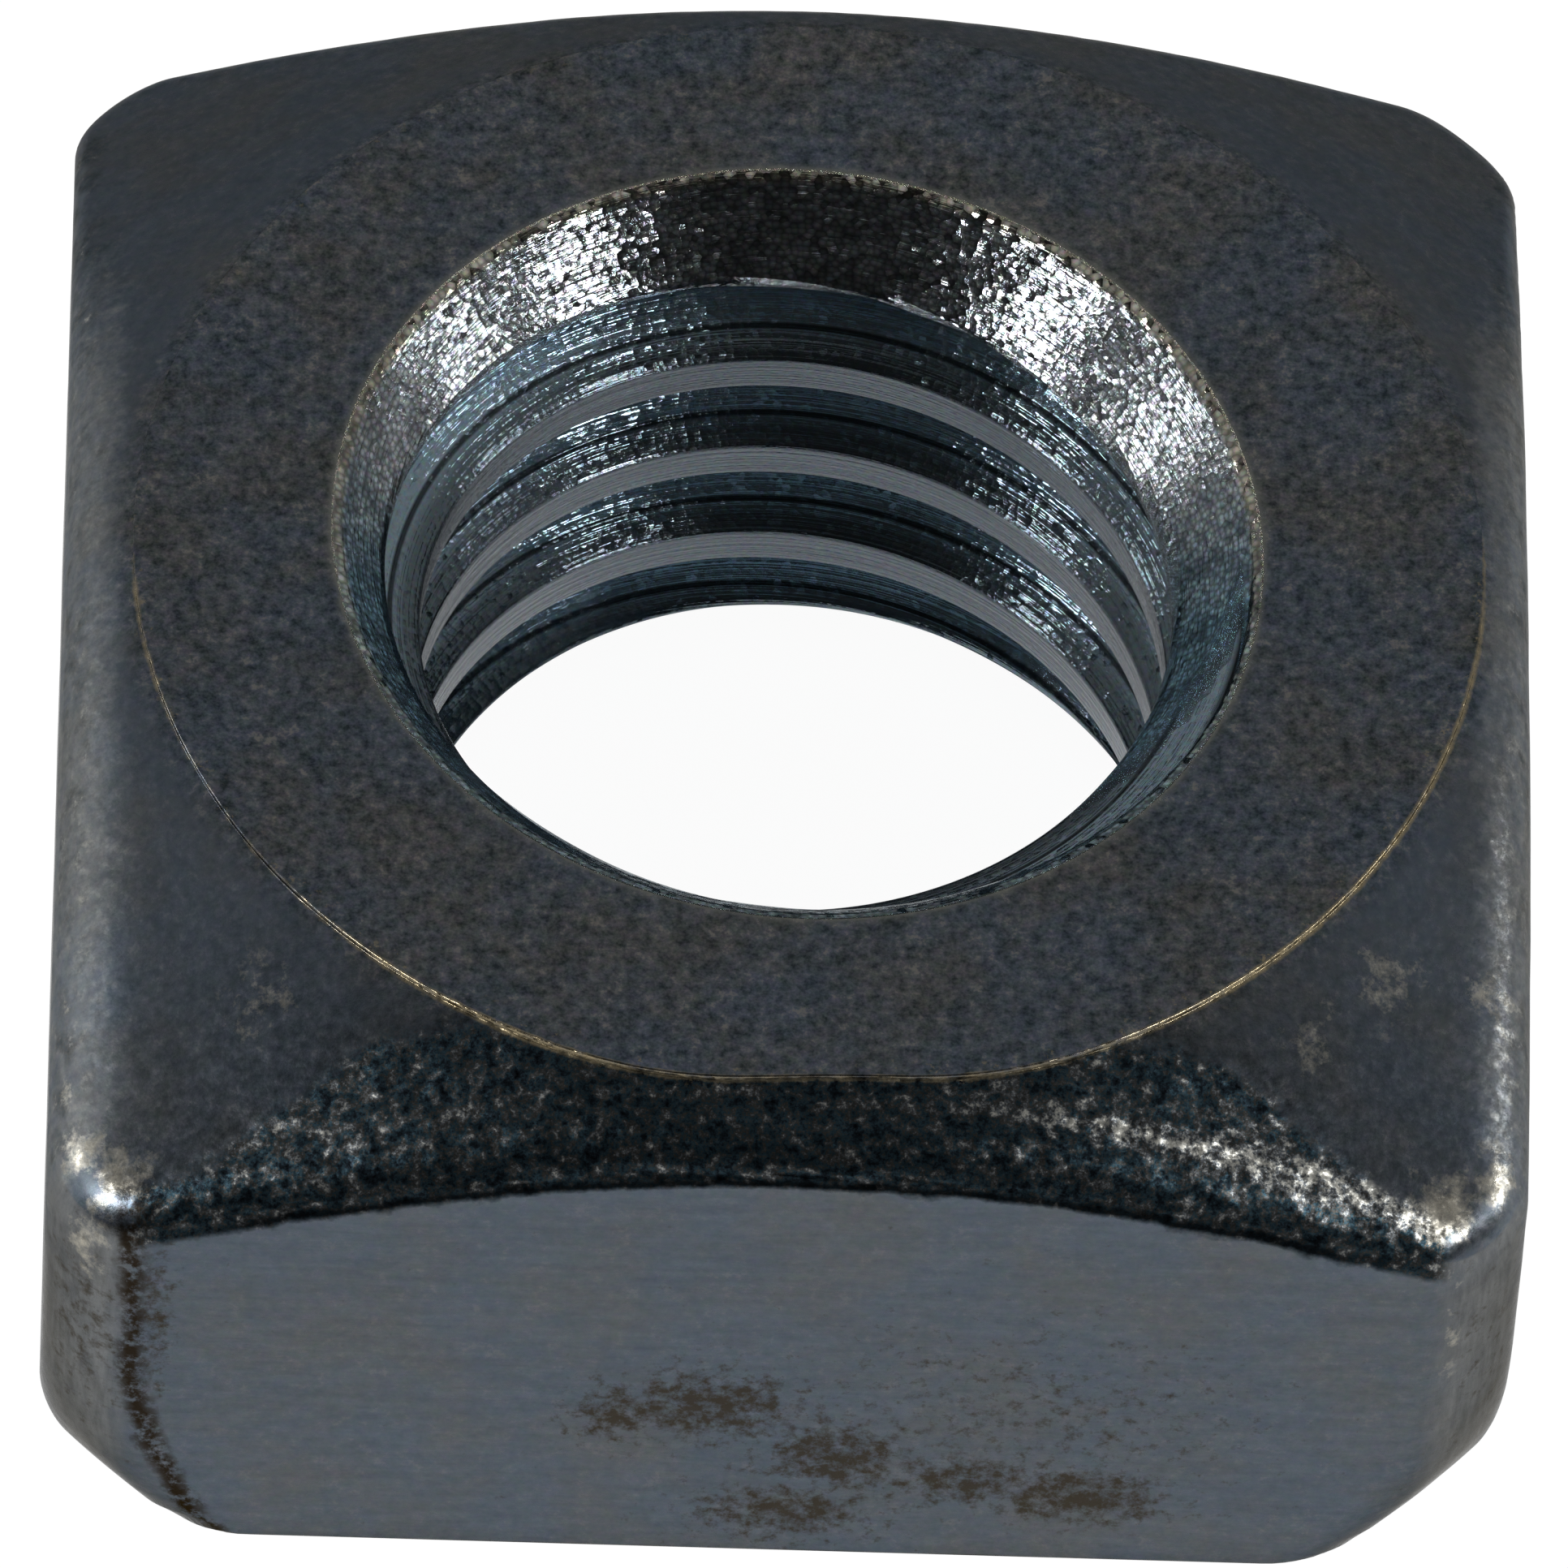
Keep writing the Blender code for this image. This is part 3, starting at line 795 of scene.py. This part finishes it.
def makeCutSkin():
    f, h = cutSkin, holeForm
    skin, tree = newMaterial("zincPlateCut")
    inMm = pointsInMm(tree)
    x, y, z = addNode(tree, "SeparateXYZ", inMm).each()
    countersunk, rim = [addNode(tree, "Attribute", attribute_name=name)["Fac"]
                        for name in ("countersunk", "rim")]
    angle = addNode(tree, "Math", y, x, operation='ARCTAN2')
    radius = (x * x + y * y).do('SQRT')
    turns = z / h["pitch"] - angle / (2 * math.pi)
    lines = toolLines(tree, inMm, z, turns, countersunk)
    patches = addNode(tree, "TexNoise", inMm, f["patchesPerMm"], 5.0, 0.65)
    crystals = addNode(tree, "TexNoise", inMm, f["crystalsPerMm"], 3.0, 0.7)

    # seen from above each flank is brown by the crest, blue further in, with a dark line between
    # that is painted shade of a small step, and painted shade darkens the root
    depth = addNode(tree, "MapRange", radius, h["crestRadius"] + 0.005, h["crestRadius"] + 0.05)
    further = addNode(tree, "MapRange", radius, *f["brownTo"])
    flank = addNode(tree, "Mix", further, f["brown"], f["flank"], data_type='RGBA')
    paintedStepShade = addNode(tree, "MapRange", abs(radius - f["darkLineAt"]), 0.015, 0.035, 0.85, 0.0)
    flank = addNode(tree, "Mix", paintedStepShade, flank, f["root"], data_type='RGBA')
    paintedRootShade = addNode(tree, "MapRange", radius, *f["rootFrom"])
    flank = addNode(tree, "Mix", paintedRootShade, flank, f["root"], data_type='RGBA')
    wall = addNode(tree, "Mix", depth, f["crest"], flank, data_type='RGBA')
    low = addNode(tree, "MapRange", y + patches * 1.5, 0.4, 2.0, 1.0, 0.0)
    cone = addNode(tree, "Mix", low, f["cone"], f["film"], data_type='RGBA')
    colour = addNode(tree, "Mix", countersunk, wall, cone, data_type='RGBA')
    edge = addNode(tree, "MapRange", rim * (patches + 0.3), 0.25, 0.60, 0.0, 0.9)
    edge = edge * addNode(tree, "MapRange", y, -2.5, 1.0, 0.35, 1.0)
    colour = addNode(tree, "Mix", edge, colour, f["rim"], data_type='RGBA')
    colour = addNode(tree, "Mix", 0.45, colour, crystals["Color"],
                     data_type='RGBA', blend_type='OVERLAY')

    # beads in rows around the hole, wider than high, each with its own brightness, and painted
    # shade darkening each towards its edge
    down = addNode(tree, "Mix", countersunk, turns * (2.0 * h["pitch"] * f["beadsPerMm"]),
                   z * (1.56 * f["beadsPerMm"]))
    around = angle * (0.75 * h["rootRadius"] * f["beadsPerMm"])
    beads = addNode(tree, "TexVoronoi", {
        "Vector": addNode(tree, "CombineXYZ", around, down), "Scale": 1.0, "Randomness": 0.8},
        voronoi_dimensions='2D')
    odd = addNode(tree, "SeparateColor", beads["Color"])
    beadToneAndShade = addNode(tree, "MapRange", beads, 0.20, 0.55, 1.0, 0.45)
    beadToneAndShade = beadToneAndShade * addNode(tree, "MapRange", odd["Green"], 0.0, 1.0, 0.50, 1.70)
    beadToneAndShade = beadToneAndShade * addNode(tree, "MapRange", patches, 0.35, 0.60, 0.6, 1.35)
    beadToneAndShade = addNode(tree, "Mix", countersunk * 0.85, 1.0, beadToneAndShade)
    colour = addNode(tree, "Mix", 1.0, colour, beadToneAndShade, data_type='RGBA', blend_type='MULTIPLY')

    # most beads lean a little, few lean far
    far = addNode(tree, "MapRange", odd["Blue"] ** 3.0, 0.0, 1.0, 0.12, 1.0)
    lean = addNode(tree, "Mix", countersunk, depth * f["flankLean"], f["coneLean"]) * far
    lean = lean.orMore(rim * addNode(tree, "MapRange", x, -1.0, 2.0, 0.35, 0.6))
    facets = tilted(tree, beads["Color"], lean)
    bump = addNode(tree, "Bump", {"Strength": 1.0, "Distance": f["beadDepth"] * mm,
                                  "Height": beads * beads, "Normal": facets}, invert=True)
    strength = addNode(tree, "MapRange", countersunk, 0.0, 1.0, 0.9, 0.60)
    bump = addNode(tree, "Bump", {"Strength": strength, "Distance": f["lineDepth"] * mm,
                                  "Height": lines, "Normal": bump})
    bump = addNode(tree, "Bump", {"Strength": 0.3, "Distance": f["crystalDepth"] * mm,
                                  "Height": crystals, "Normal": bump})
    rough = addNode(tree, "MapRange", countersunk, 0.0, 1.0, *f["roughness"])
    shader = addNode(tree, "BsdfPrincipled", {
        "Base Color": colour, "Metallic": 1.0, "Roughness": rough, "Normal": bump})
    addNode(tree, "OutputMaterial", shader)
    return skin


# The nut itself

tell("building the nut")
nut = bpy.data.objects.new("nut_body", buildNutMesh())
bpy.context.scene.collection.objects.link(nut)
nut.data.materials.append(makePlatedSkin())
nut.data.materials.append(makeCutSkin())
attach(nut, "root")
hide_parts("square_nut")


# Floor, light and camera

studio = {
    "floorSize": 3000.0,
    "floorColour": "#f2f2f2",
    "floorGlow": 0.95,      # what camera and reflections see of the paper, before its own light
    "paperReach": (26.0, 46.0),   # past this the paper falls dark in reflections
    "room": 0.38,
    "roomFront": 0.030,     # the dark side of the room, in front of the nut
    "roomLow": 0.37,
    # lamps: bearing from the front, positive to the right, height in degrees, size, strength
    "lamps": [
        ("rightBox", 57.0, 31.0, 46.0, 1.0),
        ("leftBox", -64.0, 31.0, 46.0, 1.0),
        ("rightFill", 88.0, 20.0, 50.0, 0.35),
        ("leftFill", -98.0, 18.0, 50.0, 0.35),
    ],
    "lampDistance": 260.0,
    "lampRadiance": 44.0,
}


# White paper. The camera sees it white with a faint shadow, metal mirrors it as a pool of
# light around the nut, and other light falls on it as on any matt sheet.
def makeFloor():
    mesh = bpy.data.meshes.new("floor")
    half = studio["floorSize"] / 2 * mm
    shape = bmesh.new()
    bmesh.ops.create_grid(shape, x_segments=2, y_segments=2, size=half)
    bmesh.ops.translate(shape, vec=(0.0, 0.0, -0.005 * mm), verts=shape.verts)
    shape.to_mesh(mesh)
    shape.free()
    floor = bpy.data.objects.new("floor", mesh)
    bpy.context.scene.collection.objects.link(floor)
    paper, tree = newMaterial("whitePaper")
    seen = addNode(tree, "LightPath")
    place = addNode(tree, "SeparateXYZ", pointsInMm(tree))
    away = (place["X"] * place["X"] + place["Y"] * place["Y"]).do('SQRT')
    level = addNode(tree, "MapRange", away, *studio["paperReach"], studio["floorGlow"],
                    studio["roomLow"])
    matt = addNode(tree, "BsdfDiffuse", {"Color": studio["floorColour"]})
    faint = addNode(tree, "BsdfDiffuse", {"Color": (0.15, 0.15, 0.15, 1.0)})
    white = addNode(tree, "Emission", {"Strength": studio["floorGlow"]})
    shown = addNode(tree, "AddShader", white, faint)
    mirrored = addNode(tree, "Emission", {"Strength": level})
    glossy = addNode(tree, "MixShader", seen["Is Glossy Ray"], matt, mirrored)
    direct = seen["Is Camera Ray"].orMore(seen["Is Transmission Ray"])
    addNode(tree, "OutputMaterial", addNode(tree, "MixShader", direct, glossy, shown))
    mesh.materials.append(paper)


# A pale room that is dark on the front side, where the metal would mirror who looks at it.
def makeWorld():
    world = bpy.data.worlds.new("studio")
    bpy.context.scene.world = world
    world.use_nodes = True
    tree = world.node_tree
    tree.nodes.clear()
    way = addNode(tree, "SeparateXYZ", addNode(tree, "TexCoord")["Generated"])
    room = addNode(tree, "MapRange", way["Y"], -0.20, 0.12, studio["roomFront"], studio["room"])
    low = room.do('MINIMUM', studio["roomLow"])
    level = addNode(tree, "Mix", addNode(tree, "MapRange", way["Z"], 0.10, 0.30), low, room)
    level = addNode(tree, "Mix", addNode(tree, "LightPath")["Is Camera Ray"], level, 1.0)
    sky = addNode(tree, "Background", {"Color": (1.0, 1.0, 1.0, 1.0), "Strength": level})
    addNode(tree, "OutputWorld", sky)


def makeLamps():
    for name, bearing, height, size, share in studio["lamps"]:
        a, e = math.radians(bearing), math.radians(height)
        way = Vector((math.sin(a) * math.cos(e), -math.cos(a) * math.cos(e), math.sin(e)))
        data = bpy.data.lights.new(name, 'AREA')
        data.shape = 'SQUARE'
        data.size = size * mm
        # an area lamp's power for a given radiance is radiance x pi x area
        data.energy = studio["lampRadiance"] * share * math.pi * (size * mm) ** 2
        lamp = bpy.data.objects.new(name, data)
        lamp.location = way * studio["lampDistance"] * mm
        lamp.rotation_euler = way.to_track_quat('Z', 'Y').to_euler()
        bpy.context.scene.collection.objects.link(lamp)


# The camera was set by fitting the nut's own edges to the photograph.
view = {
    "lens": 571.46,
    "sensor": 36.0,
    "down": 52.358,           # degrees below the horizon that it looks
    "turn": -2.893,
    "roll": 4.005,
    "distance": 221.63,
    "aim": (-0.0493, -0.6983),   # across and up, in the camera's own frame
    "aimHeight": 3.9,
}


def makeCamera():
    data = bpy.data.cameras.new("camera")
    data.lens = view["lens"]
    data.sensor_width = view["sensor"]
    data.clip_start = 0.01
    data.clip_end = 10.0
    camera = bpy.data.objects.new("camera", data)
    spin = (Matrix.Rotation(math.radians(view["turn"]), 3, 'Z')
            @ Matrix.Rotation(math.radians(90.0 - view["down"]), 3, 'X')
            @ Matrix.Rotation(math.radians(view["roll"]), 3, 'Z'))
    place = spin @ Vector((*view["aim"], view["distance"])) + Vector((0.0, 0.0, view["aimHeight"]))
    camera.matrix_world = Matrix.LocRotScale(place * mm, spin, None)
    bpy.context.scene.collection.objects.link(camera)
    bpy.context.scene.camera = camera


tell("floor, light and camera")
makeFloor()
makeWorld()
makeLamps()
makeCamera()
bpy.context.scene.view_settings.view_transform = 'Standard'
